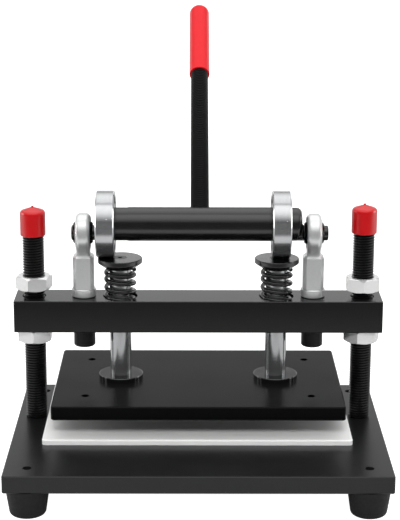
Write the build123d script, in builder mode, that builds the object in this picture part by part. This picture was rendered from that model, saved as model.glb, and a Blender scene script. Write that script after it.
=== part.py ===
from build123d import *
import math
import os

os.makedirs("parts", exist_ok=True)

# Bench press that drives cutting dies through leather.
# A lever turns an eccentric shaft, its two bearings push the capped guide posts down, and the posts carry
# the press plate. The shaft hangs in two rod ends on a crossbar that nuts hold at height on two threaded
# columns. The origin is on the bench under the middle of the base, X runs along the crossbar, Y away from
# the user and Z up. All sizes are in millimetres.

sides = (("left", -1), ("right", 1))

# Clearances
thread_clearance = 0.05
press_fit = 0.02
running_clearance = 0.04
seat_gap = 0.3
rolling_gap = 0.1
rounding_off = 0.01

# Base plate on four rubber feet
base_width = 340.0
base_depth = 240.0
base_thickness = 16.0
base_corner_radius = 2.0
base_edge_chamfer = 0.8
foot_height = 26.0
foot_top_radius = 19.7
foot_bottom_radius = 15.8
foot_edge_radius = 4.0
foot_inset_x = 20.6
foot_inset_y = 19.4
foot_pocket_radius = 8.0
foot_pocket_depth = 9.0
foot_screw_radius = 4.0
foot_screw_head_radius = 6.5
foot_screw_head_height = 6.0
foot_screw_socket_width = 6.0
foot_screw_socket_depth = 3.0
foot_screw_reach = 12.0

# Cutting board, a loose slab of nylon on the base
board_width = 281.0
board_x = -0.8
board_depth = 156.0
board_thickness = 5.0
board_corner_radius = 4.0
board_edge_radius = 1.5

# Threaded columns with soft caps. The right one stands about one turn of thread higher.
group_y = 32.0
column_x = 152.4
column_radius = 10.0
column_length = 212.7
column_end_chamfer = 1.2
column_recess = 0.5
right_column_rise = 2.8
column_cap_radius = 11.7
column_cap_depth = 21.5
column_cap_roof = 1.4
column_cap_cone_rise = 3.6
column_cap_shoulder_radius = 3.4
column_cap_rim_radius = 0.7
column_cap_nipple_radius = 1.1
column_cap_nipple_height = 1.0

# Hexagon nuts on the columns. The upper pair is backed off from the crossbar.
nut_across_flats = 30.0
nut_height = 13.0
nut_face_radius = 14.3
nut_bevel_degrees = 30.0
nut_mouth_chamfer = 0.9
upper_nut_lift_left = 6.9
upper_nut_lift_right = 6.0
nut_turns = {
    "upper_left": 16.1,
    "upper_right": 27.6,
    "lower_left": 30.0,
    "lower_right": 12.6,
}

# Crossbar
crossbar_width = 340.0
crossbar_depth = 40.0
crossbar_height = 30.0
crossbar_above_base = 88.0
crossbar_edge_chamfer = 0.6
column_hole_radius = 11.0
spring_pocket_radius = 16.0
spring_pocket_depth = 10.0
bush_wall = 1.5

# Rod ends with a spherical ball, bolted on the crossbar from below
rod_end_x = 106.2
rod_end_height = 60.3
eye_radius = 18.2
eye_width = 13.8
eye_crown_radius = 4.4
neck_width = 12.6
neck_depth = 15.4
neck_edge_radius = 3.6
shank_width = 19.0
shank_corner_chamfer = 3.0
shank_shoulder_chamfer = 1.8
shank_top = 39.7
rod_end_collar_radius = 11.4
rod_end_collar_height = 8.0
rod_end_collar_edge_radius = 1.4
race_radius = 15.0
race_width = 11.5
ball_radius = 12.7
ball_width = 18.0
rod_end_screw_radius = 7.0
rod_end_screw_hole_radius = 7.5
rod_end_screw_reach = 22.0
rod_end_bore_spare = 4.0
rod_end_screw_head_radius = 10.0
rod_end_screw_head_height = 14.0
rod_end_screw_head_chamfer = 1.0
rod_end_screw_socket_width = 12.0
rod_end_screw_socket_depth = 7.0
washer_radius = 10.8
washer_hole_radius = 7.4
washer_thickness = 3.6
washer_split = 1.6
washer_split_degrees = 25.0
washer_split_reach = 16.0

# Eccentric shaft. Its pins turn in the rod ends and its bearings stand up and back from them.
shaft_x = 1.2
eccentricity = 8.2
eccentric_lean_degrees = 25.0
pin_radius = 7.0
pin_proud = 2.9
pin_end_chamfer = 0.8
pin_root_radius = 9.0
pin_root_length = 1.7
pin_root_margin = 0.1
journal_radius = 15.4
journal_edge_radius = 5.0
journal_end_gap = 3.2
shaft_middle_radius = 15.75
shaft_middle_half_length = 66.1

# Deep groove ball bearings that roll on the post caps
bearing_radius = 31.0
bearing_width = 17.0
left_bearing_x = -85.6
outer_ring_bore = 26.4
outer_ring_chamfer = 1.0
inner_ring_radius = 19.7
inner_ring_chamfer = 0.8
seal_thickness = 1.3
seal_recess = 0.5
race_groove_radius = 4.9
race_groove_depth = 1.6

# Guide posts with mushroom caps, springs and collars
post_x = 72.5
post_radius = 10.0
post_clear_length = 107.1
post_end_chamfer = 0.6
post_seat_depth = 3.0
cap_radius = 20.6
cap_flange = 4.2
cap_foot_radius = 13.5
cap_height = 9.4
cap_edge_radius = 0.8
collar_radius = 20.5
collar_height = 4.7
collar_edge_radius = 0.7
post_screw_radius = 3.0
post_screw_head_radius = 6.0
post_screw_length = 20.0
post_screw_socket_width = 4.0
post_screw_socket_depth = 2.4
spring_radius = 13.1
spring_wire_radius = 2.0
spring_turns = 5.0
spring_end_turns = 1.0
spring_end_gap = 0.5
spring_blend_turns = 0.5
spring_start_degrees = 5.0
spring_slope_step = 0.001
spring_samples_per_turn = 48

# Press plate
plate_width = 265.0
plate_depth = 165.0
plate_thickness = 13.0
plate_corner_radius = 3.0
plate_edge_chamfer = 1.0
plate_hole_radius = 3.5
plate_hole_spacing_x = 206.0
plate_hole_spacing_y = 105.0

# Lever with its grip
lever_lean_degrees = 58.0
lever_radius = 8.6
lever_end_chamfer = 1.0
lever_socket_floor = 3.0
grip_radius = 10.1
grip_start = 210.0
grip_end = 315.5
grip_crown = 9.0
grip_roof = 5.0
grip_rim_radius = 0.5

# Heights and places that follow from the sizes above
base_top = foot_height + base_thickness
foot_x = base_width / 2 - foot_inset_x
foot_y = base_depth / 2 - foot_inset_y
crossbar_bottom = base_top + crossbar_above_base
crossbar_top = crossbar_bottom + crossbar_height
spring_floor = crossbar_top - spring_pocket_depth
pin_z = crossbar_top + rod_end_height
lean = math.radians(eccentric_lean_degrees)
shaft_y = group_y + eccentricity * math.sin(lean)
shaft_z = pin_z + eccentricity * math.cos(lean)
cap_top = shaft_z - bearing_radius - rolling_gap
cap_underside = cap_top - cap_height
plate_top = cap_underside - post_clear_length
plate_bottom = plate_top - plate_thickness
journal_half_length = rod_end_x - ball_width / 2 - journal_end_gap
pin_half_length = rod_end_x + ball_width / 2 + pin_proud
bearing_places = {
    "left": left_bearing_x,
    "right": shaft_x + shaft_middle_half_length + seat_gap + bearing_width / 2,
}
lever_slope = math.radians(lever_lean_degrees)
lever_direction = Vector(0, math.sin(lever_slope), math.cos(lever_slope))
shaft_middle = Vector(shaft_x, shaft_y, shaft_z)


def save(piece, name):
    """Label a finished piece and write its STEP file."""
    piece.part.label = name
    export_step(piece.part, f"parts/{name}.step")


def upright_plane(x, y):
    """Plane through a vertical axis, with the radius along its X and the height along its Y."""
    return Plane(origin=(x, y, 0), x_dir=(1, 0, 0), z_dir=(0, -1, 0))


def upright_axis(x, y):
    """The vertical axis of upright_plane."""
    return Axis((x, y, 0), (0, 0, 1))


def cross_plane(x, y, z):
    """Plane through an axis along X, with the place on the axis along its X and the radius along its Y."""
    return Plane(origin=(x, y, z), x_dir=(1, 0, 0), z_dir=(0, -1, 0))


def cross_axis(y, z):
    """The axis of cross_plane."""
    return Axis((0, y, z), (1, 0, 0))


# Base plate, with threaded holes for the foot screws and the columns
with BuildPart() as base_plate:
    with BuildSketch(Plane.XY.offset(foot_height)):
        RectangleRounded(base_width, base_depth, base_corner_radius)
        with GridLocations(2 * foot_x, 2 * foot_y, 2, 2):
            Circle(foot_screw_radius + thread_clearance, mode=Mode.SUBTRACT)
        with Locations((-column_x, group_y), (column_x, group_y)):
            Circle(column_radius + thread_clearance, mode=Mode.SUBTRACT)
    extrude(amount=base_thickness)
    top_rim = base_plate.faces().sort_by(Axis.Z)[-1].outer_wire().edges()
    bottom_rim = base_plate.faces().sort_by(Axis.Z)[0].outer_wire().edges()
    chamfer(top_rim + bottom_rim, base_edge_chamfer)
save(base_plate, "base_plate")

# Rubber feet, turned shapes with a pocket below for the screw head
foot_corners = {
    "front_left": (-foot_x, -foot_y),
    "front_right": (foot_x, -foot_y),
    "back_left": (-foot_x, foot_y),
    "back_right": (foot_x, foot_y),
}
foot_screw_passage = foot_screw_radius + 2 * seat_gap
for corner, (x, y) in foot_corners.items():
    with BuildPart() as foot:
        with BuildSketch(upright_plane(x, y)):
            with BuildLine():
                Polyline(
                    (foot_pocket_radius, 0),
                    (foot_bottom_radius, 0),
                    (foot_top_radius, foot_height),
                    (foot_screw_passage, foot_height),
                    (foot_screw_passage, foot_pocket_depth),
                    (foot_pocket_radius, foot_pocket_depth),
                    close=True,
                )
            make_face()
        revolve(axis=upright_axis(x, y))
        tread = foot.edges().group_by(Axis.Z)[0].sort_by(SortBy.RADIUS)[-1]
        fillet(tread, foot_edge_radius)
    save(foot, f"foot_{corner}")

# Screws that hold the feet, driven up from below
with BuildPart() as foot_screws:
    head_base = foot_pocket_depth - foot_screw_head_height
    with BuildSketch(Plane.XY.offset(head_base)):
        with GridLocations(2 * foot_x, 2 * foot_y, 2, 2):
            Circle(foot_screw_head_radius)
    extrude(amount=foot_screw_head_height)
    with BuildSketch(Plane.XY.offset(foot_pocket_depth)):
        with GridLocations(2 * foot_x, 2 * foot_y, 2, 2):
            Circle(foot_screw_radius)
    extrude(amount=foot_height - foot_pocket_depth + foot_screw_reach)
    with BuildSketch(Plane.XY.offset(head_base)):
        with GridLocations(2 * foot_x, 2 * foot_y, 2, 2):
            RegularPolygon(foot_screw_socket_width / 2, 6, major_radius=False)
    extrude(amount=foot_screw_socket_depth, mode=Mode.SUBTRACT)
save(foot_screws, "foot_screws")

# Cutting board between the columns, its upper edge rounded
with BuildPart() as cutting_board:
    with BuildSketch(Plane.XY.offset(base_top)):
        with Locations((board_x, group_y)):
            RectangleRounded(board_width, board_depth, board_corner_radius)
    extrude(amount=board_thickness)
    fillet(cutting_board.faces().sort_by(Axis.Z)[-1].outer_wire().edges(), board_edge_radius)
save(cutting_board, "cutting_board")

# Threaded columns, screwed through the base
column_feet = {
    "left": foot_height + column_recess,
    "right": foot_height + column_recess + right_column_rise,
}
for side, sign in sides:
    with BuildPart() as column:
        with BuildSketch(Plane.XY.offset(column_feet[side])):
            with Locations((sign * column_x, group_y)):
                Circle(column_radius)
        extrude(amount=column_length)
        chamfer(column.edges().filter_by(GeomType.CIRCLE), column_end_chamfer)
    save(column, f"column_{side}")

# Soft caps pushed over the column tops, with a cone and a moulding nipple
for side, sign in sides:
    column_top = column_feet[side] + column_length
    skirt = column_top + seat_gap - column_cap_depth
    shoulder = column_top + seat_gap + column_cap_roof
    cone_top = shoulder + column_cap_cone_rise
    with BuildPart() as column_cap:
        with BuildSketch(upright_plane(sign * column_x, group_y)):
            with BuildLine():
                Polyline(
                    (column_radius + running_clearance, skirt),
                    (column_cap_radius, skirt),
                    (column_cap_radius, shoulder),
                    (column_cap_nipple_radius, cone_top),
                    (column_cap_nipple_radius, cone_top + column_cap_nipple_height),
                    (0, cone_top + column_cap_nipple_height),
                    (0, column_top + seat_gap),
                    (column_radius + running_clearance, column_top + seat_gap),
                    close=True,
                )
            make_face()
        revolve(axis=upright_axis(sign * column_x, group_y))
        rims = column_cap.edges().filter_by(GeomType.CIRCLE).sort_by(SortBy.RADIUS)[-2:].sort_by(Axis.Z)
        fillet(rims[-1], column_cap_shoulder_radius)
        mouth = column_cap.edges().filter_by(GeomType.CIRCLE).group_by(Axis.Z)[0].sort_by(SortBy.RADIUS)[-1]
        fillet(mouth, column_cap_rim_radius)
    save(column_cap, f"column_cap_{side}")

# Hexagon nuts, bevelled on both faces and bored for the column
nut_corner_radius = nut_across_flats / 2 / math.cos(math.pi / 6)
nut_bevel = (nut_corner_radius - nut_face_radius) * math.tan(math.radians(nut_bevel_degrees))
nut_bore = column_radius + thread_clearance
nut_heights = {
    "upper_left": crossbar_top + upper_nut_lift_left,
    "upper_right": crossbar_top + upper_nut_lift_right,
    "lower_left": crossbar_bottom - nut_height,
    "lower_right": crossbar_bottom - nut_height,
}
for place, height in nut_heights.items():
    x = -column_x if place.endswith("left") else column_x
    with BuildPart() as nut:
        with BuildSketch(Plane.XY.offset(height)):
            with Locations((x, group_y)):
                RegularPolygon(
                    nut_across_flats / 2, 6, major_radius=False, rotation=nut_turns[place]
                )
        extrude(amount=nut_height)
        with BuildSketch(upright_plane(x, group_y)):
            with BuildLine():
                Polyline(
                    (nut_bore + nut_mouth_chamfer, height),
                    (nut_face_radius, height),
                    (nut_corner_radius, height + nut_bevel),
                    (nut_corner_radius, height + nut_height - nut_bevel),
                    (nut_face_radius, height + nut_height),
                    (nut_bore + nut_mouth_chamfer, height + nut_height),
                    (nut_bore, height + nut_height - nut_mouth_chamfer),
                    (nut_bore, height + nut_mouth_chamfer),
                    close=True,
                )
            make_face()
        revolve(axis=upright_axis(x, group_y), mode=Mode.INTERSECT)
    save(nut, f"nut_{place}")

# Crossbar, with holes for the columns and the rod end screws and stepped bores for bushes and springs
bush_radius = post_radius + running_clearance + bush_wall
with BuildPart() as crossbar:
    with BuildSketch(Plane.XY.offset(crossbar_bottom)):
        with Locations((0, group_y)):
            Rectangle(crossbar_width, crossbar_depth)
    extrude(amount=crossbar_height)
    chamfer(crossbar.edges(), crossbar_edge_chamfer)
    with BuildSketch(Plane.XY.offset(crossbar_bottom)):
        with Locations((-column_x, group_y), (column_x, group_y)):
            Circle(column_hole_radius)
        with Locations((-rod_end_x, group_y), (rod_end_x, group_y)):
            Circle(rod_end_screw_hole_radius)
        with Locations((-post_x, group_y), (post_x, group_y)):
            Circle(bush_radius + press_fit)
    extrude(amount=crossbar_height, mode=Mode.SUBTRACT)
    with BuildSketch(Plane.XY.offset(spring_floor)):
        with Locations((-post_x, group_y), (post_x, group_y)):
            Circle(spring_pocket_radius)
    extrude(amount=spring_pocket_depth, mode=Mode.SUBTRACT)
save(crossbar, "crossbar")

# Plain bushes that guide the posts
for side, sign in sides:
    with BuildPart() as guide_bush:
        with BuildSketch(Plane.XY.offset(crossbar_bottom)):
            with Locations((sign * post_x, group_y)):
                Circle(bush_radius)
                Circle(post_radius + running_clearance, mode=Mode.SUBTRACT)
        extrude(amount=crossbar_height - spring_pocket_depth)
    save(guide_bush, f"guide_bush_{side}")

# Rod end bodies: a crowned eye on a rounded neck and a bevelled square shank, bored from below for its screw
shank_z = crossbar_top + shank_top
collar_z = crossbar_top + rod_end_collar_height
neck_reach = math.hypot(neck_depth / 2, pin_z - shank_z)
neck_angle = math.acos(eye_radius / neck_reach) - math.atan2(pin_z - shank_z, neck_depth / 2)
neck_touch_y = eye_radius * math.cos(neck_angle)
neck_touch_z = pin_z + eye_radius * math.sin(neck_angle)
for side, sign in sides:
    x = sign * rod_end_x
    with BuildPart() as neck:
        with BuildSketch(Plane.YZ.offset(x)):
            with BuildLine():
                Polyline(
                    (group_y - neck_depth / 2, collar_z),
                    (group_y + neck_depth / 2, collar_z),
                    (group_y + neck_depth / 2, shank_z),
                    (group_y + neck_touch_y, neck_touch_z),
                    (group_y - neck_touch_y, neck_touch_z),
                    (group_y - neck_depth / 2, shank_z),
                    close=True,
                )
            make_face()
        extrude(amount=neck_width / 2, both=True)
        neck_sides = neck.faces().sort_by(Axis.X)
        fillet(neck_sides[0].edges() + neck_sides[-1].edges(), neck_edge_radius)
    with BuildPart() as rod_end:
        with BuildSketch(Plane.XY.offset(crossbar_top)):
            with Locations((x, group_y)):
                Circle(rod_end_collar_radius)
        extrude(amount=rod_end_collar_height)
        fillet(rod_end.edges().filter_by(GeomType.CIRCLE), rod_end_collar_edge_radius)
        with BuildSketch(Plane.XY.offset(collar_z)):
            with Locations((x, group_y)):
                shank_outline = Rectangle(shank_width, shank_width)
            chamfer(shank_outline.vertices(), shank_corner_chamfer)
        extrude(amount=shank_z - collar_z)
        chamfer(rod_end.faces().sort_by(Axis.Z)[-1].edges(), shank_shoulder_chamfer)
        add(neck.part)
        with BuildSketch(cross_plane(x, group_y, pin_z)):
            with Locations((0, eye_radius / 2)):
                Rectangle(eye_width, eye_radius)
            crown = vertices().group_by(Axis.Y)[-1]
            fillet(crown, eye_crown_radius)
        revolve(axis=cross_axis(group_y, pin_z))
        with BuildSketch(Plane.YZ.offset(x)):
            with Locations((group_y, pin_z)):
                Circle(race_radius + press_fit)
        extrude(amount=shank_width / 2, both=True, mode=Mode.SUBTRACT)
        with BuildSketch(Plane.XY.offset(crossbar_top)):
            with Locations((x, group_y)):
                Circle(rod_end_screw_radius + thread_clearance)
        extrude(amount=rod_end_screw_reach + rod_end_bore_spare, mode=Mode.SUBTRACT)
    save(rod_end, f"rod_end_{side}")

# Races pressed into the eyes, hollowed to the ball
race_hollow = ball_radius + running_clearance
race_lip = math.sqrt(race_hollow**2 - (race_width / 2) ** 2)
for side, sign in sides:
    with BuildPart() as race:
        with BuildSketch(cross_plane(sign * rod_end_x, group_y, pin_z)):
            with BuildLine():
                ThreePointArc((-race_width / 2, race_lip), (0, race_hollow), (race_width / 2, race_lip))
                Polyline(
                    (race_width / 2, race_lip),
                    (race_width / 2, race_radius),
                    (-race_width / 2, race_radius),
                    (-race_width / 2, race_lip),
                )
            make_face()
        revolve(axis=cross_axis(group_y, pin_z))
    save(race, f"rod_end_race_{side}")

# Balls on the shaft pins, cut flat at both ends
ball_bore = pin_radius + running_clearance
ball_lip = math.sqrt(ball_radius**2 - (ball_width / 2) ** 2)
for side, sign in sides:
    with BuildPart() as ball:
        with BuildSketch(cross_plane(sign * rod_end_x, group_y, pin_z)):
            with BuildLine():
                ThreePointArc((-ball_width / 2, ball_lip), (0, ball_radius), (ball_width / 2, ball_lip))
                Polyline(
                    (ball_width / 2, ball_lip),
                    (ball_width / 2, ball_bore),
                    (-ball_width / 2, ball_bore),
                    (-ball_width / 2, ball_lip),
                )
            make_face()
        revolve(axis=cross_axis(group_y, pin_z))
    save(ball, f"rod_end_ball_{side}")

# Socket head screws that hold the rod ends from below
head_top = crossbar_bottom - washer_thickness
head_bottom = head_top - rod_end_screw_head_height
for side, sign in sides:
    with BuildPart() as rod_end_screw:
        with BuildSketch(Plane.XY.offset(head_bottom)):
            with Locations((sign * rod_end_x, group_y)):
                Circle(rod_end_screw_head_radius)
        extrude(amount=rod_end_screw_head_height)
        chamfer(rod_end_screw.edges().group_by(Axis.Z)[0], rod_end_screw_head_chamfer)
        with BuildSketch(Plane.XY.offset(head_top)):
            with Locations((sign * rod_end_x, group_y)):
                Circle(rod_end_screw_radius)
        extrude(amount=washer_thickness + crossbar_height + rod_end_screw_reach)
        with BuildSketch(Plane.XY.offset(head_bottom)):
            with Locations((sign * rod_end_x, group_y)):
                RegularPolygon(rod_end_screw_socket_width / 2, 6, major_radius=False)
        extrude(amount=rod_end_screw_socket_depth, mode=Mode.SUBTRACT)
    save(rod_end_screw, f"rod_end_screw_{side}")

# Spring washers under the screw heads, split on a slant
for side, sign in sides:
    with BuildPart() as washer:
        with BuildSketch(Plane.XY.offset(head_top)):
            with Locations((sign * rod_end_x, group_y)):
                Circle(washer_radius)
                Circle(washer_hole_radius, mode=Mode.SUBTRACT)
        extrude(amount=washer_thickness)
        split_middle = (sign * rod_end_x, group_y, head_top + washer_thickness / 2)
        slant = math.radians(washer_split_degrees)
        split_plane = Plane(split_middle, x_dir=(0, 1, 0), z_dir=(math.cos(slant), 0, math.sin(slant)))
        with BuildSketch(split_plane):
            with Locations((-washer_radius, 0)):
                Rectangle(washer_split_reach, washer_thickness * 2)
        extrude(amount=washer_split / 2, both=True, mode=Mode.SUBTRACT)
    save(washer, f"spring_washer_{side}")

# Press plate, with four fixing holes, shallow seats for the posts and countersinks below them
post_screw_hole_radius = post_screw_radius + seat_gap
post_screw_sink_radius = post_screw_head_radius + seat_gap
with BuildPart() as press_plate:
    with BuildSketch(Plane.XY.offset(plate_bottom)):
        with Locations((0, group_y)):
            RectangleRounded(plate_width, plate_depth, plate_corner_radius)
            with GridLocations(plate_hole_spacing_x, plate_hole_spacing_y, 2, 2):
                Circle(plate_hole_radius, mode=Mode.SUBTRACT)
    extrude(amount=plate_thickness)
    top_rim = press_plate.faces().sort_by(Axis.Z)[-1].outer_wire().edges()
    bottom_rim = press_plate.faces().sort_by(Axis.Z)[0].outer_wire().edges()
    chamfer(top_rim + bottom_rim, plate_edge_chamfer)
    with BuildSketch(Plane.XY.offset(plate_top)):
        with Locations((-post_x, group_y), (post_x, group_y)):
            Circle(post_radius + press_fit)
    extrude(amount=-post_seat_depth, mode=Mode.SUBTRACT)
    with Locations(Plane(origin=(0, group_y, plate_bottom), x_dir=(1, 0, 0), z_dir=(0, 0, -1))):
        with Locations((-post_x, 0), (post_x, 0)):
            CounterSinkHole(post_screw_hole_radius, post_screw_sink_radius, plate_thickness)
save(press_plate, "press_plate")

# Collars round the foot of the posts
for side, sign in sides:
    with BuildPart() as collar:
        with BuildSketch(Plane.XY.offset(plate_top)):
            with Locations((sign * post_x, group_y)):
                Circle(collar_radius)
                Circle(post_radius + running_clearance, mode=Mode.SUBTRACT)
        extrude(amount=collar_height)
        fillet(collar.edges().group_by(Axis.Z)[-1].sort_by(SortBy.RADIUS)[-1], collar_edge_radius)
    save(collar, f"collar_{side}")

# Guide posts, ground rods drilled at both ends for their screws
post_bottom = plate_top - post_seat_depth
post_top = cap_underside + post_seat_depth
post_bore = post_screw_radius + thread_clearance
for side, sign in sides:
    with BuildPart() as guide_post:
        with BuildSketch(Plane.XY.offset(post_bottom)):
            with Locations((sign * post_x, group_y)):
                Circle(post_radius)
        extrude(amount=post_top - post_bottom)
        chamfer(guide_post.edges().filter_by(GeomType.CIRCLE), post_end_chamfer)
        with BuildSketch(Plane.XY.offset(post_bottom)):
            with Locations((sign * post_x, group_y)):
                Circle(post_bore)
        extrude(amount=post_screw_length, mode=Mode.SUBTRACT)
        with BuildSketch(Plane.XY.offset(post_top)):
            with Locations((sign * post_x, group_y)):
                Circle(post_bore)
        extrude(amount=-post_screw_length, mode=Mode.SUBTRACT)
    save(guide_post, f"guide_post_{side}")

# Mushroom caps on the posts, countersunk for their screws and recessed over the post
for side, sign in sides:
    with BuildPart() as post_cap:
        with BuildSketch(upright_plane(sign * post_x, group_y)):
            with BuildLine():
                Polyline(
                    (0, cap_underside),
                    (cap_foot_radius, cap_underside),
                    (cap_radius, cap_top - cap_flange),
                    (cap_radius, cap_top),
                    (0, cap_top),
                    close=True,
                )
            make_face()
        revolve(axis=upright_axis(sign * post_x, group_y))
        flange_edges = post_cap.edges().filter_by(GeomType.CIRCLE).sort_by(SortBy.RADIUS)[-2:]
        fillet(flange_edges, cap_edge_radius)
        with BuildSketch(Plane.XY.offset(cap_underside)):
            with Locations((sign * post_x, group_y)):
                Circle(post_radius + press_fit)
        extrude(amount=post_seat_depth, mode=Mode.SUBTRACT)
        with Locations((sign * post_x, group_y, cap_top)):
            CounterSinkHole(post_screw_hole_radius, post_screw_sink_radius, cap_height)
    save(post_cap, f"post_cap_{side}")

# Countersunk screws, flush in the caps and in the underside of the press plate
screw_rows = {"cap_screws": (cap_top, 1), "plate_screws": (plate_bottom, -1)}
head_depth = post_screw_head_radius - post_screw_radius
for name, (face, way) in screw_rows.items():
    with BuildPart() as post_screws:
        for side, sign in sides:
            with BuildSketch(upright_plane(sign * post_x, group_y)):
                with BuildLine():
                    Polyline(
                        (0, face),
                        (post_screw_head_radius, face),
                        (post_screw_radius, face - way * head_depth),
                        (post_screw_radius, face - way * post_screw_length),
                        (0, face - way * post_screw_length),
                        close=True,
                    )
                make_face()
            revolve(axis=upright_axis(sign * post_x, group_y))
            with BuildSketch(Plane.XY.offset(face)):
                with Locations((sign * post_x, group_y)):
                    RegularPolygon(post_screw_socket_width / 2, 6, major_radius=False)
            extrude(amount=-way * post_screw_socket_depth, mode=Mode.SUBTRACT)
    save(post_screws, name)

# Return springs round the posts, each one unbroken wire wound on tangent arcs
spring_bottom = spring_floor + seat_gap + spring_wire_radius
spring_rise = cap_underside - seat_gap - spring_wire_radius - spring_bottom
end_pitch = 2 * spring_wire_radius + spring_end_gap
open_pitch = end_pitch + (spring_rise - end_pitch * spring_turns) / (spring_turns - 2 * spring_end_turns)


def open_turns(turn):
    """Turns wound at the open pitch up to this one, easing in after the first end turn."""
    if turn > spring_turns / 2:
        return spring_turns - 2 * spring_end_turns - open_turns(spring_turns - turn)
    past = turn - spring_end_turns + spring_blend_turns / 2
    if past <= 0:
        return 0.0
    if past < spring_blend_turns:
        return past**2 / (2 * spring_blend_turns)
    return past - spring_blend_turns / 2


def wire_point(x, turn):
    """Middle of the wire after a number of turns, wound left-handed."""
    angle = math.radians(spring_start_degrees) - 2 * math.pi * turn
    rise = end_pitch * turn + (open_pitch - end_pitch) * open_turns(turn)
    return Vector(
        x + spring_radius * math.cos(angle),
        group_y + spring_radius * math.sin(angle),
        spring_bottom + rise,
    )


def wire_direction(x, turn):
    """Direction of the wire after a number of turns."""
    ahead = wire_point(x, min(turn + spring_slope_step, spring_turns))
    behind = wire_point(x, max(turn - spring_slope_step, 0.0))
    return (ahead - behind).normalized()


quarter_turns = round(spring_turns * 4)
for side, sign in sides:
    x = sign * post_x
    with BuildPart() as spring:
        with BuildLine():
            for quarter in range(quarter_turns):
                start = wire_point(x, quarter * spring_turns / quarter_turns)
                end = wire_point(x, (quarter + 1) * spring_turns / quarter_turns)
                leaving = wire_direction(x, quarter * spring_turns / quarter_turns)
                arriving = wire_direction(x, (quarter + 1) * spring_turns / quarter_turns)
                chord = end - start
                both = leaving + arriving
                spread = 2 * (1 - leaving.dot(arriving))
                root = math.sqrt(chord.dot(both) ** 2 + spread * chord.dot(chord))
                reach = (root - chord.dot(both)) / spread
                near = start + leaving * reach
                far = end - arriving * reach
                middle = (near + far) / 2
                TangentArc(start, middle, tangent=leaving)
                TangentArc(middle, end, tangent=far - near)
        with BuildSketch(Plane(origin=wire_point(x, 0), z_dir=wire_direction(x, 0))):
            Circle(spring_wire_radius)
        sweep()
    save(spring, f"spring_{side}")

sample_count = round(spring_turns * spring_samples_per_turn) + 1
wire_points = [wire_point(post_x, i / spring_samples_per_turn) for i in range(sample_count)]
half_turn = spring_samples_per_turn // 2
least = min(
    (a - b).length
    for i, a in enumerate(wire_points)
    for b in wire_points[i + half_turn :]
)
print(f"least gap between the turns of a spring: {least - 2 * spring_wire_radius:.2f} mm")

# Shaft pins with conical roots, each kept inside a round that a bearing passes over
pins = {}
pin_round = eccentricity + pin_radius + pin_root_margin
for side, sign in sides:
    with BuildPart() as pin:
        with BuildSketch(cross_plane(shaft_x, group_y, pin_z)):
            with BuildLine():
                Polyline(
                    (sign * (journal_half_length - journal_edge_radius), 0),
                    (sign * (journal_half_length - journal_edge_radius), pin_root_radius),
                    (sign * journal_half_length, pin_root_radius),
                    (sign * (journal_half_length + pin_root_length), pin_radius),
                    (sign * (pin_half_length - pin_end_chamfer), pin_radius),
                    (sign * pin_half_length, pin_radius - pin_end_chamfer),
                    (sign * pin_half_length, 0),
                    close=True,
                )
            make_face()
        revolve(axis=cross_axis(group_y, pin_z))
        with BuildSketch(Plane.YZ.offset(shaft_x)):
            with Locations((shaft_y, shaft_z)):
                Circle(pin_round)
        extrude(amount=sign * (pin_half_length + pin_proud), mode=Mode.INTERSECT)
    pins[side] = pin.part

# Eccentric shaft in one piece: thick middle, bearing journals and offset pins, tapped for the lever
with BuildPart() as eccentric_shaft:
    with BuildSketch(cross_plane(shaft_x, shaft_y, shaft_z)):
        with BuildLine():
            Polyline(
                (-journal_half_length, 0),
                (-journal_half_length, journal_radius),
                (-shaft_middle_half_length, journal_radius),
                (-shaft_middle_half_length, shaft_middle_radius),
                (shaft_middle_half_length, shaft_middle_radius),
                (shaft_middle_half_length, journal_radius),
                (journal_half_length, journal_radius),
                (journal_half_length, 0),
                close=True,
            )
        make_face()
    revolve(axis=cross_axis(shaft_y, shaft_z))
    round_ends = eccentric_shaft.edges().filter_by(GeomType.CIRCLE).sort_by(Axis.X)
    fillet([round_ends[0], round_ends[-1]], journal_edge_radius)
    add(pins["left"])
    add(pins["right"])
    socket_floor = shaft_middle + lever_direction * lever_socket_floor
    with BuildSketch(Plane(origin=socket_floor, z_dir=lever_direction)):
        Circle(lever_radius + thread_clearance)
    extrude(amount=shaft_middle_radius, mode=Mode.SUBTRACT)
save(eccentric_shaft, "eccentric_shaft")

# Lever, a threaded rod screwed into the shaft
lever_start = lever_socket_floor + seat_gap
lever_tip = grip_end - grip_roof
lever_foot = shaft_middle + lever_direction * lever_start
with BuildPart() as lever_rod:
    with BuildSketch(Plane(origin=lever_foot, z_dir=lever_direction)):
        Circle(lever_radius)
    extrude(amount=lever_tip - lever_start)
    chamfer(lever_rod.edges().filter_by(GeomType.CIRCLE), lever_end_chamfer)
save(lever_rod, "lever_rod")

# Soft grip over the end of the lever, open below and domed above
grip_plane = Plane(origin=shaft_middle, x_dir=lever_direction, z_dir=(1, 0, 0))
with BuildPart() as lever_grip:
    with BuildSketch(grip_plane):
        with BuildLine():
            Polyline(
                (lever_tip + seat_gap, 0),
                (lever_tip + seat_gap, lever_radius + running_clearance),
                (grip_start, lever_radius + running_clearance),
                (grip_start, grip_radius),
                (grip_end - grip_crown, grip_radius),
            )
            grip_shoulder = (grip_end - grip_crown, 0)
            EllipticalCenterArc(grip_shoulder, grip_crown, grip_radius, start_angle=0, arc_size=90)
            Line((grip_end, 0), (lever_tip + seat_gap, 0))
        make_face()
    revolve(axis=Axis(shaft_middle, lever_direction))
    rim = lever_grip.edges().filter_by(GeomType.CIRCLE).sort_by(Axis(shaft_middle, lever_direction))
    fillet(rim.filter_by(lambda e: abs(e.radius - grip_radius) < rounding_off)[0], grip_rim_radius)
save(lever_grip, "lever_grip")

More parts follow.
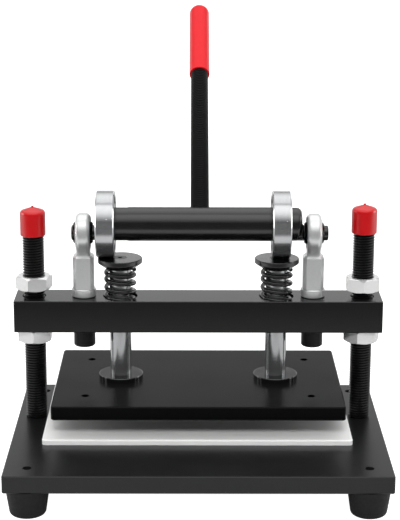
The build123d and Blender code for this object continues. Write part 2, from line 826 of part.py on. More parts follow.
# Outer rings of the bearings, grooved inside for the balls
for side, centre in bearing_places.items():
    with BuildPart() as outer_ring:
        with BuildSketch(cross_plane(centre, shaft_y, shaft_z)):
            with Locations((0, (bearing_radius + outer_ring_bore) / 2)):
                Rectangle(bearing_width, bearing_radius - outer_ring_bore)
            with Locations((0, outer_ring_bore + race_groove_depth - race_groove_radius)):
                Circle(race_groove_radius, mode=Mode.SUBTRACT)
        revolve(axis=cross_axis(shaft_y, shaft_z))
        corners = outer_ring.edges().filter_by(lambda e: e.geom_type == GeomType.CIRCLE)
        chamfer(corners.filter_by(lambda e: e.radius > bearing_radius - rounding_off), outer_ring_chamfer)
    save(outer_ring, f"bearing_outer_{side}")

# Inner rings of the bearings, fixed on the journals
for side, centre in bearing_places.items():
    with BuildPart() as inner_ring:
        inner_bore = journal_radius + press_fit
        with BuildSketch(cross_plane(centre, shaft_y, shaft_z)):
            with Locations((0, (inner_ring_radius + inner_bore) / 2)):
                Rectangle(bearing_width, inner_ring_radius - inner_bore)
            with Locations((0, inner_ring_radius - race_groove_depth + race_groove_radius)):
                Circle(race_groove_radius, mode=Mode.SUBTRACT)
        revolve(axis=cross_axis(shaft_y, shaft_z))
        corners = inner_ring.edges().filter_by(lambda e: e.geom_type == GeomType.CIRCLE)
        chamfer(corners.filter_by(lambda e: e.radius < inner_bore + rounding_off), inner_ring_chamfer)
    save(inner_ring, f"bearing_inner_{side}")

# Seals that close both sides of each bearing
for side, centre in bearing_places.items():
    seal_centre = bearing_width / 2 - seal_recess - seal_thickness / 2
    seal_outer = outer_ring_bore - press_fit
    seal_inner = inner_ring_radius + seat_gap
    seal_middle = (seal_outer + seal_inner) / 2
    with BuildPart() as seals:
        with BuildSketch(cross_plane(centre, shaft_y, shaft_z)):
            with Locations((-seal_centre, seal_middle), (seal_centre, seal_middle)):
                Rectangle(seal_thickness, seal_outer - seal_inner)
        revolve(axis=cross_axis(shaft_y, shaft_z))
    save(seals, f"bearing_seals_{side}")
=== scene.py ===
import math

import bpy
from mathutils import Matrix, Vector


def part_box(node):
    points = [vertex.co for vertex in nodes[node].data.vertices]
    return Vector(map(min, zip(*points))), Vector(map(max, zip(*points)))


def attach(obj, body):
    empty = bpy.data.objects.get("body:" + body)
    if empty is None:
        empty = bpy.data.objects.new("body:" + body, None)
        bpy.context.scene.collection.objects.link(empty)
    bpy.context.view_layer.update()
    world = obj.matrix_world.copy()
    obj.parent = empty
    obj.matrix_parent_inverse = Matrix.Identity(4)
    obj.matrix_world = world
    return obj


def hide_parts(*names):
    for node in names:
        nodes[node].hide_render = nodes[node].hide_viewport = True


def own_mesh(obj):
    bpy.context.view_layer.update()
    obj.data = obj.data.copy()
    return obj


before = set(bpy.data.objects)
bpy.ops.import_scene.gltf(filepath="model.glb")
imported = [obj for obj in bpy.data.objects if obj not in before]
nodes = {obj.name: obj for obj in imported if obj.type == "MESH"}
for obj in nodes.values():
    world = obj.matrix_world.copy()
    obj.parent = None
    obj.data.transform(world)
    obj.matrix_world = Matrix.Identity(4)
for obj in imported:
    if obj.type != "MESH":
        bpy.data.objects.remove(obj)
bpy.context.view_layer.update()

# Base plate, crossbar and press plate: thick steel bar, sawn to length, milled flat and drilled, then
# blackened in a hot oxide bath and oiled. The base stands on the feet, the nuts of the columns hold the
# crossbar at height, and the press plate is screwed to the guide posts.
MM = 0.001
CLOUD_SIZE = 45 * MM
MILL_GRAIN_SIZE = 1.1 * MM
MILL_GRAIN_DEPTH = 0.004 * MM
SAW_LINE_WIDTH = 1.111 * MM
SAW_LINE_LENGTH = 12.5 * MM
NOISE_LOW = 0.3
NOISE_HIGH = 0.7


def linear(hex_colour):
    """Turn an sRGB colour such as 1a1a1b into the linear colour that shaders take."""
    channels = [int(hex_colour[i:i + 2], 16) / 255 for i in (0, 2, 4)]
    return [c / 12.92 if c <= 0.04045 else ((c + 0.055) / 1.055) ** 2.4 for c in channels] + [1.0]


def add(tree, kind, inputs=None, **settings):
    """Add a node with its settings, fill its inputs with values or other outputs, and return its outputs."""
    node = tree.nodes.new(kind)
    for name, value in settings.items():
        setattr(node, name, value)
    for name, value in (inputs or {}).items():
        if isinstance(value, bpy.types.NodeSocket):
            tree.links.new(value, node.inputs[name])
        else:
            node.inputs[name].default_value = value
    return node.outputs


def new_material(name):
    """Make a material with an empty tree, and return both with the place on the object in metres."""
    material = bpy.data.materials.new(name)
    material.use_nodes = True
    tree = material.node_tree
    tree.nodes.clear()
    return material, tree, add(tree, "ShaderNodeTexCoord")["Object"]


def surface(tree, paint, tone, rough, relief=None, depth=0.0, values=None):
    """Finish a material with its paint, a roughness that follows its tone, and its relief of this depth."""
    sheen = add(tree, "ShaderNodeMapRange", {
        "Value": tone, "From Min": NOISE_LOW, "From Max": NOISE_HIGH, "To Min": rough[0], "To Max": rough[1]})
    inputs = {"Base Color": paint, "Roughness": sheen["Result"], **(values or {})}
    if relief is not None:
        bumps = add(tree, "ShaderNodeBump", {"Height": relief, "Strength": 1.0, "Distance": depth})
        inputs["Normal"] = bumps["Normal"]
    shader = add(tree, "ShaderNodeBsdfPrincipled", inputs)
    add(tree, "ShaderNodeOutputMaterial", {"Surface": shader["BSDF"]})


def dress(material, *names):
    """Give CAD nodes their finished material."""
    for name in names:
        slots = nodes[name].data.materials
        slots.clear()
        slots.append(material)


def blackened_steel(name, painted_side_dark, painted_side_light, rough, index):
    """A dark oiled skin that hides the metal: satin near black, faintly clouded by the bath, with upright
    saw lines on the edges. The tone of the upright sides is painted light and shade, set for each part:
    lighter than the tops on the base, darker on the press plate and the crossbar. The grain and the lines
    are drawn about ten times too coarse, so that they show.
    """
    material, tree, place = new_material(name)
    clouds = add(tree, "ShaderNodeTexNoise", {
        "Vector": place, "Scale": 1 / CLOUD_SIZE, "Detail": 2.0})["Fac"]
    grain = add(tree, "ShaderNodeTexNoise", {
        "Vector": place, "Scale": 1 / MILL_GRAIN_SIZE, "Detail": 2.0})["Fac"]
    upright = add(tree, "ShaderNodeMapping", {
        "Vector": place, "Scale": (1 / SAW_LINE_WIDTH, 1 / SAW_LINE_WIDTH, 1 / SAW_LINE_LENGTH)})["Vector"]
    saw_lines = add(tree, "ShaderNodeTexNoise", {
        "Vector": upright, "Scale": 1.0, "Detail": 5.0})["Fac"]
    # The sides: saw lines drawn between two colours whose level is a painted tone of light and shade, set for
    # each part.
    painted_side = add(tree, "ShaderNodeMix", {
        0: saw_lines, 6: linear(painted_side_dark), 7: linear(painted_side_light)}, data_type="RGBA")[2]
    face = add(tree, "ShaderNodeMix", {
        0: clouds, 6: linear("0c0c0d"), 7: linear("121213")}, data_type="RGBA")[2]
    normal = add(tree, "ShaderNodeNewGeometry")["Normal"]
    tilt = add(tree, "ShaderNodeSeparateXYZ", {"Vector": normal})["Z"]
    flat = add(tree, "ShaderNodeMath", {0: tilt}, operation="ABSOLUTE")["Value"]
    # Faces that lie flat take the clouded top colour, upright faces take the painted side tone, and slopes
    # get a blend of the two.
    paint = add(tree, "ShaderNodeMix", {0: flat, 6: painted_side, 7: face}, data_type="RGBA")[2]
    surface(tree, paint, clouds, rough, grain, MILL_GRAIN_DEPTH, {"IOR": index})
    return material


# The first two colours are the sides' painted tone, with the saw lines between them: painted lighter than the
# tops on the base, and painted darker on the press plate and the crossbar.
dress(blackened_steel("blackened_base_steel", "0e0e0f", "1b1b1c", (0.28, 0.34), index=1.45), "base_plate")
dress(blackened_steel("blackened_plate_steel", "020202", "060606", (0.2, 0.26), index=1.14), "press_plate")
dress(blackened_steel("blackened_bar_steel", "040404", "090909", (0.16, 0.2), index=1.5), "crossbar")


# Feet: cones of black rubber, each moulded in one piece and screwed up into a corner of the base. The
# mould leaves a matt skin that holds a little dust. Its pores are drawn half a millimetre across, larger
# than they are, so that they show.
DUST_SIZE = 3 * MM
RUBBER_PORE_SIZE = 0.5 * MM
RUBBER_PORE_DEPTH = 0.03 * MM


def moulded_rubber():
    material, tree, place = new_material("moulded_black_rubber")
    dust = add(tree, "ShaderNodeTexNoise", {
        "Vector": place, "Scale": 1 / DUST_SIZE, "Detail": 6.0})["Fac"]
    pores = add(tree, "ShaderNodeTexNoise", {
        "Vector": place, "Scale": 1 / RUBBER_PORE_SIZE, "Detail": 3.0})["Fac"]
    paint = add(tree, "ShaderNodeMix", {
        0: dust, 6: linear("0a0a0a"), 7: linear("131313")}, data_type="RGBA")[2]
    surface(tree, paint, dust, (0.5, 0.68), pores, RUBBER_PORE_DEPTH, {"Specular IOR Level": 0.35})
    return material


black_rubber = moulded_rubber()
dress(black_rubber, "foot_front_left", "foot_front_right", "foot_back_left", "foot_back_right")


# Cutting board: a loose slab of white nylon, sawn from sheet, that the dies cut down onto. Light goes a
# few millimetres into it, so it looks slightly waxy, with a faint mottle, and the saw leaves it dull.
# The saw's grain is drawn coarser than it is, so that it shows.
MOTTLE_SIZE = 12 * MM
BOARD_GRAIN_SIZE = 0.6 * MM
BOARD_GRAIN_DEPTH = 0.02 * MM
BOARD_GLOW_REACH = (4 * MM, 4 * MM, 3.5 * MM)


def white_nylon():
    material, tree, place = new_material("sawn_white_nylon")
    mottle = add(tree, "ShaderNodeTexNoise", {
        "Vector": place, "Scale": 1 / MOTTLE_SIZE, "Detail": 3.0})["Fac"]
    grain = add(tree, "ShaderNodeTexNoise", {
        "Vector": place, "Scale": 1 / BOARD_GRAIN_SIZE, "Detail": 3.0})["Fac"]
    paint = add(tree, "ShaderNodeMix", {
        0: mottle, 6: linear("d8d8d7"), 7: linear("e0e0df")}, data_type="RGBA")[2]
    surface(tree, paint, mottle, (0.42, 0.52), grain, BOARD_GRAIN_DEPTH, {
        "Subsurface Weight": 0.15, "Subsurface Radius": BOARD_GLOW_REACH, "Subsurface Scale": 1.0})
    return material


dress(white_nylon(), "cutting_board")


# Screws and spring washers: rolled steel screws that hold the feet, the post caps, the press plate and the
# rod ends. A dip in black oxide leaves them a dark satin skin, patchy by a shade. The large heads under
# the crossbar are knurled all round.
OXIDE_PATCH_SIZE = 12 * MM
KNURL_RIB_WIDTH = 1.3 * MM
KNURL_DEPTH = 0.06 * MM
head_low, head_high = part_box("rod_end_screw_left")
rib_count = round(math.pi * (head_high.x - head_low.x) / KNURL_RIB_WIDTH)


def both_sides(name):
    return f"{name}_left", f"{name}_right"


def black_oxide(name, dark, light, rough, index, marks=None, depth=0.0):
    """The marks that a tool left in the steel show through the oxide, and marks is what draws them."""
    material, tree, place = new_material(name)
    patches = add(tree, "ShaderNodeTexNoise", {
        "Vector": place, "Scale": 1 / OXIDE_PATCH_SIZE, "Detail": 3.0})["Fac"]
    paint = add(tree, "ShaderNodeMix", {
        0: patches, 6: linear(dark), 7: linear(light)}, data_type="RGBA")[2]
    relief = marks(tree) if marks else None
    surface(tree, paint, patches, rough, relief, depth, {"IOR": index})
    return material


def from_middle(tree):
    """Where a point lies from the middle of its piece, with the whole piece 1 wide each way."""
    whole = add(tree, "ShaderNodeTexCoord")["Generated"]
    middle = (0.5, 0.5, 0.5)
    return add(tree, "ShaderNodeVectorMath", {0: whole, 1: middle}, operation="SUBTRACT")["Vector"]


def knurling(tree):
    """Straight ribs round an upright head, as waves of the angle about its axis."""
    out = add(tree, "ShaderNodeSeparateXYZ", {"Vector": from_middle(tree)})
    angle = add(tree, "ShaderNodeMath", {0: out["Y"], 1: out["X"]}, operation="ARCTAN2")["Value"]
    waves = add(tree, "ShaderNodeMath", {0: angle, 1: rib_count}, operation="MULTIPLY")["Value"]
    return add(tree, "ShaderNodeMath", {0: waves}, operation="SINE")["Value"]


screw_black = black_oxide("rolled_screw_black_oxide", "060606", "0d0d0d", (0.28, 0.34), index=1.45)
dress(screw_black, *both_sides("spring_washer"), "foot_screws", "cap_screws", "plate_screws")
head_black = black_oxide("knurled_head_black_oxide", "040404", "080808", (0.28, 0.34), index=1.36,
                         marks=knurling, depth=KNURL_DEPTH)
dress(head_black, *both_sides("rod_end_screw"))


# Columns: two lengths of threaded steel rod in the screws' black oxide, screwed down into the base. The
# thread is rolled, one helix with flat crests and roots, so that every turn catches a line of light.
COLUMN_PITCH = 2.5 * MM
THREAD_DEPTH_PER_PITCH = 0.6
THREAD_STEPS = 32
THREAD_SMOOTH_DEGREES = 20


def mesh_piece(name, vertices, faces, material, body, replaced, smooth_degrees):
    """Make a piece from points and faces, smooth its gentle edges and ride it on its body for a CAD node."""
    mesh = bpy.data.meshes.new(name)
    mesh.from_pydata(vertices, [], faces)
    mesh.materials.append(material)
    mesh.polygons.foreach_set("use_smooth", [True] * len(mesh.polygons))
    mesh.set_sharp_from_angle(angle=math.radians(smooth_degrees))
    piece = bpy.data.objects.new(name, mesh)
    bpy.context.scene.collection.objects.link(piece)
    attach(piece, body)
    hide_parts(replaced)
    return piece


def threaded_rod(name, start, direction, length, radius, pitch, body, replaced):
    """A helix that climbs one pitch a turn and is cut square at both ends. Its profile gives, from root
    over flank and crest to root, the share of the pitch and the radius of each corner.
    """
    root = radius - THREAD_DEPTH_PER_PITCH * pitch
    profile = [(0.0, root), (0.15, root), (0.42, radius), (0.58, radius), (0.85, root)]
    corners = len(profile)
    rings = (math.ceil(length / pitch) + 1) * THREAD_STEPS + 1
    along_rod = Matrix.Translation(start) @ direction.to_track_quat("Z", "Y").to_matrix().to_4x4()
    vertices = []
    for ring in range(rings):
        turn = ring / THREAD_STEPS
        angle = 2 * math.pi * ring / THREAD_STEPS
        for share, r in profile:
            height = min(max((turn - 1 + share) * pitch, 0.0), length)
            vertices.append(along_rod @ Vector((r * math.cos(angle), r * math.sin(angle), height)))
    faces = []
    for ring in range(rings - 1):
        for corner in range(corners - 1):
            here = ring * corners + corner
            faces.append((here, here + corners, here + corners + 1, here + 1))
        last = ring * corners + corners - 1
        above = (ring + THREAD_STEPS) * corners
        if ring + THREAD_STEPS < rings - 1:
            faces.append((last, last + corners, above + corners, above))
    mesh_piece(name, vertices, faces, screw_black, body, replaced, THREAD_SMOOTH_DEGREES)


for side in ("left", "right"):
    low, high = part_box(f"column_{side}")
    foot = Vector(((low.x + high.x) / 2, (low.y + high.y) / 2, low.z))
    threaded_rod(f"threaded_column_{side}", foot, Vector((0, 0, 1)), high.z - low.z, (high.x - low.x) / 2,
                 COLUMN_PITCH, "base", f"column_{side}")


# Column caps: soft red PVC, made by dipping a hot mandrel, which leaves a small nipple on top, and pushed
# over the ends of the columns. The skin is glossy over a clear colour, with slow ripples where the dip
# ran down.
DIP_FLOW_SIZE = 9 * MM
DIP_RIPPLE_SIZE = 7 * MM
DIP_RIPPLE_DEPTH = 0.05 * MM
PVC_GLOW_REACH = (4 * MM, 1 * MM, 1 * MM)


def red_pvc(name, deep, bright, rough, index, coat):
    material, tree, place = new_material(name)
    flow = add(tree, "ShaderNodeTexNoise", {
        "Vector": place, "Scale": 1 / DIP_FLOW_SIZE, "Detail": 2.0})["Fac"]
    ripples = add(tree, "ShaderNodeTexNoise", {
        "Vector": place, "Scale": 1 / DIP_RIPPLE_SIZE, "Detail": 1.0})["Fac"]
    paint = add(tree, "ShaderNodeMix", {
        0: flow, 6: linear(deep), 7: linear(bright)}, data_type="RGBA")[2]
    surface(tree, paint, flow, rough, ripples, DIP_RIPPLE_DEPTH, {
        "Subsurface Weight": 0.08, "Subsurface Radius": PVC_GLOW_REACH, "Subsurface Scale": 1.0,
        "IOR": index, "Coat Weight": coat, "Coat Roughness": 0.06})
    return material


cap_red = red_pvc("dipped_cap_pvc", "ae040a", "ba080e", (0.28, 0.34), index=1.5, coat=0.3)
dress(cap_red, *both_sides("column_cap"))


# Nuts: hexagons of steel, hot formed and tapped, one above and one below the crossbar on each column.
# Their bright zinc plating is a pale mirror, clouded by a spangle and by a grain that is drawn coarser
# than it is, so that it shows.
SPANGLE_SIZE = 2.5 * MM
PLATING_GRAIN_SIZE = 0.4 * MM
PLATING_GRAIN_DEPTH = 0.004 * MM


def bare_metal(name, dark, light, rough, metallic):
    """Metal that is plated, bored or polished, and not painted, so its colours are its own reflection."""
    material, tree, place = new_material(name)
    spangle = add(tree, "ShaderNodeTexNoise", {
        "Vector": place, "Scale": 1 / SPANGLE_SIZE, "Detail": 1.0})["Fac"]
    grain = add(tree, "ShaderNodeTexNoise", {
        "Vector": place, "Scale": 1 / PLATING_GRAIN_SIZE, "Detail": 3.0})["Fac"]
    paint = add(tree, "ShaderNodeMix", {
        0: spangle, 6: linear(dark), 7: linear(light)}, data_type="RGBA")[2]
    surface(tree, paint, spangle, rough, grain, PLATING_GRAIN_DEPTH, {"Metallic": metallic})
    return material


nut_zinc = bare_metal("bright_zinc_plating", "e0e0e0", "e9e9e9", (0.16, 0.2), metallic=0.66)
dress(nut_zinc, *both_sides("nut_upper"), *both_sides("nut_lower"))


# Rod ends: eyes of drop forged steel, zinc plated to a pale satin and bolted up from under the crossbar.
# In each eye a ball of hardened steel, polished dark, turns in a brown bronze race. Bushes of the same
# bronze, bored smooth, guide the posts through the crossbar.
forged_zinc = bare_metal("satin_zinc_forging", "dfe0e0", "e7e8e8", (0.28, 0.33), metallic=0.72)
bronze = bare_metal("bored_bronze", "6b5540", "8a7358", (0.3, 0.42), metallic=1.0)
ball_steel = bare_metal("polished_ball_steel", "3c3e40", "4c4e51", (0.16, 0.22), metallic=1.0)
dress(forged_zinc, *both_sides("rod_end"))
dress(bronze, *both_sides("rod_end_race"), *both_sides("guide_bush"))
dress(ball_steel, *both_sides("rod_end_ball"))


# Guide posts: hardened steel rod, ground round and polished, that slides in the bushes of the crossbar. It
# is a clean mirror with faint lines round it. Real grinding lines are a few hundredths of a millimetre
# wide, so they are drawn far coarser, and as long along X, Y and Z as given here.
POST_LINE_SIZE = (20 * MM, 20 * MM, 0.8333 * MM)
GRINDING_DEPTH = 0.0004 * MM


def ground_steel(name, line_size, dark, light, rough):
    material, tree, place = new_material(name)
    drawn_out = add(tree, "ShaderNodeMapping", {
        "Vector": place, "Scale": [1 / size for size in line_size]})["Vector"]
    lines = add(tree, "ShaderNodeTexNoise", {
        "Vector": drawn_out, "Scale": 1.0, "Detail": 4.0})["Fac"]
    paint = add(tree, "ShaderNodeMix", {
        0: lines, 6: linear(dark), 7: linear(light)}, data_type="RGBA")[2]
    surface(tree, paint, lines, rough, lines, GRINDING_DEPTH, {"Metallic": 0.92})
    return material


post_steel = ground_steel("ground_post_steel", POST_LINE_SIZE, "b2b4b5", "c4c5c6", (0.15, 0.19))
dress(post_steel, *both_sides("guide_post"))


# Post caps and collars: steel discs turned on a lathe, the caps screwed on the posts' tops and the collars
# round their feet. The oxide on them is deep and glossy, and rings from the tool spread its highlights.
# Real rings are about a tenth of a millimetre wide, so these are drawn coarser, to show.
RING_WIDTH = 0.685 * MM
RING_DEPTH = 0.01 * MM
cap_low, cap_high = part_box("post_cap_left")
ring_count = round((cap_high.x - cap_low.x) / RING_WIDTH)


def lathe_rings(tree):
    """Rings about the upright axis of a disc, as noise along its radius."""
    out = from_middle(tree)
    level = add(tree, "ShaderNodeVectorMath", {0: out, 1: (1, 1, 0)}, operation="MULTIPLY")["Vector"]
    radius = add(tree, "ShaderNodeVectorMath", {0: level}, operation="LENGTH")["Value"]
    return add(tree, "ShaderNodeTexNoise", {
        "W": radius, "Scale": ring_count, "Detail": 2.0}, noise_dimensions="1D")["Fac"]


cap_black = black_oxide("turned_black_oxide", "080808", "101011", (0.16, 0.22), index=1.85,
                        marks=lathe_rings, depth=RING_DEPTH)
collar_black = black_oxide("polished_black_oxide", "080808", "0f0f0f", (0.08, 0.12), index=2.1,
                           marks=lathe_rings, depth=RING_DEPTH)
dress(cap_black, *both_sides("post_cap"))
dress(collar_black, *both_sides("collar"))


# Eccentric shaft: one steel bar turned in a lathe, its bearing seats off the line of the pins that turn in
# the rod ends, and blackened like the screws. The marks of the tool run round it and break its long
# highlight into bands, and are drawn coarser than they are, as long along X, Y and Z as given here.
TURNING_MARK_SIZE = (1.25 * MM, 50 * MM, 50 * MM)
TURNING_MARK_DEPTH = 0.003 * MM


def turning_marks(tree):
    """Marks round a bar that lies along X."""
    place = add(tree, "ShaderNodeTexCoord")["Object"]
    drawn_out = add(tree, "ShaderNodeMapping", {
        "Vector": place, "Scale": [1 / size for size in TURNING_MARK_SIZE]})["Vector"]
    return add(tree, "ShaderNodeTexNoise", {
        "Vector": drawn_out, "Scale": 1.0, "Detail": 3.0})["Fac"]


shaft_black = black_oxide("turned_shaft_black_oxide", "070707", "0e0e0f", (0.2, 0.25), index=1.75,
                          marks=turning_marks, depth=TURNING_MARK_DEPTH)
dress(shaft_black, "eccentric_shaft")


# Bearings: inner and outer rings of hardened steel, ground on every face and pressed on the shaft, whose
# outer rings roll on the post caps. They are brighter than the posts, with closer lines.
BEARING_LINE_SIZE = (0.6667 * MM, 10 * MM, 10 * MM)
bearing_steel = ground_steel("ground_bearing_steel", BEARING_LINE_SIZE, "bcbec0", "d4d5d6", (0.14, 0.2))
dress(bearing_steel, *both_sides("bearing_outer"), *both_sides("bearing_inner"))


# Bearing seals: discs of the feet's black rubber, moulded on a steel core and snapped in between the rings
# on both sides, with a raised band, a shallow trough and a lip that runs on the inner ring. The profile
# goes from the rim inward, and gives how far out and at what radius each corner is, in millimetres.
SEAL_STEPS = 96
SEAL_SMOOTH_DEGREES = 30
SEAL_BAND_HEIGHT = 0.35
SEAL_PROFILE = (
    (0.0, 26.38), (SEAL_BAND_HEIGHT, 26.1), (SEAL_BAND_HEIGHT, 25.2), (0.1, 24.9), (0.1, 24.3),
    (0.3, 24.0), (0.3, 22.6), (0.0, 22.2), (0.0, 21.3), (0.2, 21.0), (0.2, 20.4), (-0.2, 20.0),
    (-1.3, 20.0), (-1.3, 26.38))
seal_corners = len(SEAL_PROFILE)
for side in ("left", "right"):
    low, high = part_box(f"bearing_seals_{side}")
    middle = (low + high) / 2
    vertices, faces = [], []
    for way, face_x in ((-1, low.x), (1, high.x)):
        first = len(vertices)
        for step in range(SEAL_STEPS):
            angle = 2 * math.pi * step / SEAL_STEPS
            for out, radius in SEAL_PROFILE:
                x = face_x + way * (out - SEAL_BAND_HEIGHT) * MM
                r = radius * MM
                vertices.append((x, middle.y + r * math.cos(angle), middle.z + r * math.sin(angle)))
        for step in range(SEAL_STEPS):
            here = first + step * seal_corners
            there = first + (step + 1) % SEAL_STEPS * seal_corners
            for corner in range(seal_corners):
                following = (corner + 1) % seal_corners
                face = (here + corner, here + following, there + following, there + corner)
                faces.append(face if way > 0 else face[::-1])
    mesh_piece(f"moulded_seals_{side}", vertices, faces, black_rubber, f"roller_{side}",
               f"bearing_seals_{side}", SEAL_SMOOTH_DEGREES)


# Return springs: steel wire, wound cold with a closed turn at each end and blackened, round each guide
# post. They stand in pockets of the crossbar and push the post caps up. Drawn wire is smooth, so the
# oxide on it has a soft, even gloss.
SPRING_RADIUS = 13.1 * MM
WIRE_RADIUS = 2 * MM
SPRING_TURNS = 5.0
END_TURNS = 1.0
END_PITCH = 4.5 * MM
BLEND_TURNS = 0.5
START_ANGLE = math.radians(5)
COIL_STEPS = 40
WIRE_SIDES = 16
COIL_SMOOTH_DEGREES = 50
spring_black = black_oxide("wound_spring_wire", "060607", "0c0c0d", (0.2, 0.26), index=1.7)


def open_turns(turn):
    """How many of the turns up to this one are wound at the open pitch, which eases in and out."""
    if turn > SPRING_TURNS / 2:
        return SPRING_TURNS - 2 * END_TURNS - open_turns(SPRING_TURNS - turn)
    past = turn - END_TURNS + BLEND_TURNS / 2
    if past <= 0:
        return 0.0
    return past ** 2 / (2 * BLEND_TURNS) if past < BLEND_TURNS else past - BLEND_TURNS / 2


for side in ("left", "right"):
    low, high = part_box(f"spring_{side}")
    post_low, post_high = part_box(f"guide_post_{side}")
    axis = (post_low + post_high) / 2
    bottom = low.z + WIRE_RADIUS
    rise = high.z - WIRE_RADIUS - bottom
    open_pitch = END_PITCH + (rise - END_PITCH * SPRING_TURNS) / (SPRING_TURNS - 2 * END_TURNS)
    rings = int(SPRING_TURNS * COIL_STEPS)
    vertices, faces = [], []
    for ring in range(rings + 1):
        turn = SPRING_TURNS * ring / rings
        angle = START_ANGLE - 2 * math.pi * turn
        height = bottom + END_PITCH * turn + (open_pitch - END_PITCH) * open_turns(turn)
        outward = Vector((math.cos(angle), math.sin(angle), 0))
        centre = Vector((axis.x, axis.y, height)) + outward * SPRING_RADIUS
        for corner in range(WIRE_SIDES):
            roll = 2 * math.pi * corner / WIRE_SIDES
            offset = outward * math.cos(roll) + Vector((0, 0, 1)) * math.sin(roll)
            vertices.append(centre + offset * WIRE_RADIUS)
    for ring in range(rings):
        for corner in range(WIRE_SIDES):
            here = ring * WIRE_SIDES + corner
            beside = ring * WIRE_SIDES + (corner + 1) % WIRE_SIDES
            faces.append((here, here + WIRE_SIDES, beside + WIRE_SIDES, beside))
    faces.append(tuple(range(WIRE_SIDES)))
    faces.append(tuple(reversed(range(rings * WIRE_SIDES, (rings + 1) * WIRE_SIDES))))
    coil = mesh_piece(f"coil_spring_{side}", vertices, faces, spring_black, "bar", f"spring_{side}",
                      COIL_SMOOTH_DEGREES)
    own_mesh(coil)


# Lever: a length of black threaded rod like the columns, a little thinner, screwed into the middle of the
# shaft so that it leans back.
LEVER_LEAN = math.radians(58)
LEVER_X = 1.2 * MM
LEVER_START = 3.3 * MM
LEVER_LENGTH = 307.2 * MM
LEVER_RADIUS = 8.6 * MM
LEVER_PITCH = 2.5 * MM
shaft_low, shaft_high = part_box("bearing_outer_left")
shaft_middle = Vector((LEVER_X, (shaft_low.y + shaft_high.y) / 2, (shaft_low.z + shaft_high.z) / 2))
lever_direction = Vector((0, math.sin(LEVER_LEAN), math.cos(LEVER_LEAN)))
lever_foot = shaft_middle + lever_direction * LEVER_START
threaded_rod("threaded_lever", lever_foot, lever_direction, LEVER_LENGTH, LEVER_RADIUS, LEVER_PITCH,
             "cam", "lever_rod")


# Grip: a sleeve of soft red PVC with a domed end, dipped like the column caps but thicker, and pushed over
# the end of the lever. Handling has dulled its skin, so its gloss is softer than theirs.
grip_red = red_pvc("dipped_grip_pvc", "c40614", "ce0c1a", (0.29, 0.34), index=1.3, coat=0.12)
dress(grip_red, "lever_grip")


# Studio lamps: a small key lamp high in front, for the short shadows under the crossbar and on the board,
# a broad lamp overhead, and a soft box at each side. Only the soft boxes show in polished metal.
LAMP_AIM = Vector((0, 0.03, 0.12))
LAMPS = (
    ("diffuse_key", (0, -2.0, 1.52), 0.4, 44, False),
    ("diffuse_top", (0, -0.2, 2.0), 1.6, 10, False),
    ("softbox_left", (-1.5, 0.2, 0.45), 0.8, 7, True),
    ("softbox_right", (1.5, 0.2, 0.45), 0.8, 7, True),
)
for name, location, size, power, mirrored in LAMPS:
    light = bpy.data.lights.new(name, "AREA")
    light.energy = power
    light.shape = "SQUARE"
    light.size = size
    lamp = bpy.data.objects.new(name, light)
    lamp.location = location
    lamp.rotation_euler = (LAMP_AIM - Vector(location)).to_track_quat("-Z", "Y").to_euler()
    lamp.visible_glossy = mirrored
    bpy.context.scene.collection.objects.link(lamp)


# Floor: a sheet of matt paper that the press stands on, darker where it runs toward the lens, so that less
# light comes up onto the front. To the lens itself it is plain white.
FLOOR_HALF_WIDTH = 6.0
FLOOR_FRONT = -3.0
FLOOR_BACK = 9.0
PALE_PAPER_Y = -0.3
DARK_PAPER_Y = -0.56
floor_mesh = bpy.data.meshes.new("floor")
floor_corners = [(-FLOOR_HALF_WIDTH, FLOOR_FRONT, 0), (FLOOR_HALF_WIDTH, FLOOR_FRONT, 0),
                 (FLOOR_HALF_WIDTH, FLOOR_BACK, 0), (-FLOOR_HALF_WIDTH, FLOOR_BACK, 0)]
floor_mesh.from_pydata(floor_corners, [], [(0, 1, 2, 3)])
floor = bpy.data.objects.new("floor", floor_mesh)
bpy.context.scene.collection.objects.link(floor)
paper, tree, place = new_material("pale_floor")
ahead = add(tree, "ShaderNodeSeparateXYZ", {"Vector": place})["Y"]
toward_lens = add(tree, "ShaderNodeMapRange", {
    "Value": ahead, "From Min": PALE_PAPER_Y, "From Max": DARK_PAPER_Y},
    interpolation_type="SMOOTHSTEP")["Result"]
tone = add(tree, "ShaderNodeMix", {
    0: toward_lens, 6: linear("bababa"), 7: linear("404040")}, data_type="RGBA")[2]
matt = add(tree, "ShaderNodeBsdfPrincipled", {"Base Color": tone, "Roughness": 0.9})["BSDF"]
white = add(tree, "ShaderNodeEmission", {"Color": linear("ffffff"), "Strength": 1.0})["Emission"]
whitened = add(tree, "ShaderNodeAddShader", {0: matt, 1: white})["Shader"]
to_lens = add(tree, "ShaderNodeLightPath")["Is Camera Ray"]
sheet = add(tree, "ShaderNodeMixShader", {0: to_lens, 1: matt, 2: whitened})["Shader"]
add(tree, "ShaderNodeOutputMaterial", {"Surface": sheet})
floor_mesh.materials.append(paper)


# Studio tent: white cloth whose light falls on the press and shows in its metal. Its roof is bright, but
# dimmer behind and at a joint just forward of the middle, and its wall is pale behind and dark in front.
# Z says how far up a ray goes, to 1 straight up, and Y how far back. To the lens the tent is plain white.
world = bpy.data.worlds.new("studio")
bpy.context.scene.world = world
world.use_nodes = True
tent = world.node_tree
tent.nodes.clear()
ray = add(tent, "ShaderNodeSeparateXYZ", {"Vector": add(tent, "ShaderNodeTexCoord")["Generated"]})
overhead = add(tent, "ShaderNodeMapRange", {
    "Value": ray["Z"], "From Min": 0.28, "From Max": 0.95, "To Min": 0.0, "To Max": 1.5},
    interpolation_type="SMOOTHSTEP")["Result"]
rear_half = add(tent, "ShaderNodeMapRange", {
    "Value": ray["Y"], "From Min": -0.14, "From Max": -0.04, "To Min": 1.0, "To Max": 0.74})["Result"]
off_joint = add(tent, "ShaderNodeMath", {0: ray["Y"], 1: -0.09}, operation="SUBTRACT")["Value"]
beside_joint = add(tent, "ShaderNodeMath", {0: off_joint}, operation="ABSOLUTE")["Value"]
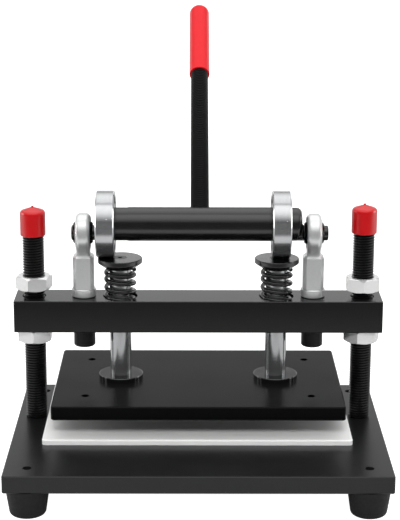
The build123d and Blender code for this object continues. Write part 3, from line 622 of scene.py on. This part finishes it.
joint = add(tent, "ShaderNodeMapRange", {
    "Value": beside_joint, "From Min": 0.03, "From Max": 0.12, "To Min": 0.45, "To Max": 1.0})["Result"]
even_roof = add(tent, "ShaderNodeMath", {0: overhead, 1: rear_half}, operation="MULTIPLY")["Value"]
roof = add(tent, "ShaderNodeMath", {0: even_roof, 1: joint}, operation="MULTIPLY")["Value"]
behind = add(tent, "ShaderNodeMapRange", {
    "Value": ray["Y"], "From Min": -0.1, "From Max": 0.6, "To Min": 0.12, "To Max": 1.15},
    interpolation_type="SMOOTHSTEP")["Result"]
low_down = add(tent, "ShaderNodeMapRange", {
    "Value": ray["Z"], "From Min": 0.26, "From Max": 0.32, "To Min": 1.0, "To Max": 0.25},
    interpolation_type="SMOOTHSTEP")["Result"]
wall = add(tent, "ShaderNodeMath", {0: behind, 1: low_down}, operation="MULTIPLY")["Value"]
glow = add(tent, "ShaderNodeMath", {0: roof, 1: wall}, operation="ADD")["Value"]
cloth = add(tent, "ShaderNodeBackground", {"Color": linear("ffffff"), "Strength": glow})["Background"]
backdrop = add(tent, "ShaderNodeBackground", {"Color": linear("ffffff"), "Strength": 1.0})["Background"]
to_lens = add(tent, "ShaderNodeLightPath")["Is Camera Ray"]
studio = add(tent, "ShaderNodeMixShader", {0: to_lens, 1: cloth, 2: backdrop})["Shader"]
add(tent, "ShaderNodeOutputWorld", {"Surface": studio})
bpy.context.scene.view_settings.view_transform = "Standard"


# Camera: a long lens about a metre and a half in front and half a metre up, looking slightly down, as
# the photograph was taken.
LENS_LENGTH = 115.08
SENSOR_WIDTH = 36.0
CAMERA_PLACE = (-0.0058, -1.45229, 0.59284)
CAMERA_PITCH = math.radians(74.9724)
CAMERA_ROLL = math.radians(-0.171)
CAMERA_TURN = math.radians(-0.232)
lens = bpy.data.cameras.new("camera")
lens.lens = LENS_LENGTH
lens.sensor_width = SENSOR_WIDTH
camera = bpy.data.objects.new("camera", lens)
camera.location = CAMERA_PLACE
camera.rotation_euler = (CAMERA_PITCH, CAMERA_ROLL, CAMERA_TURN)
bpy.context.scene.collection.objects.link(camera)
bpy.context.scene.camera = camera
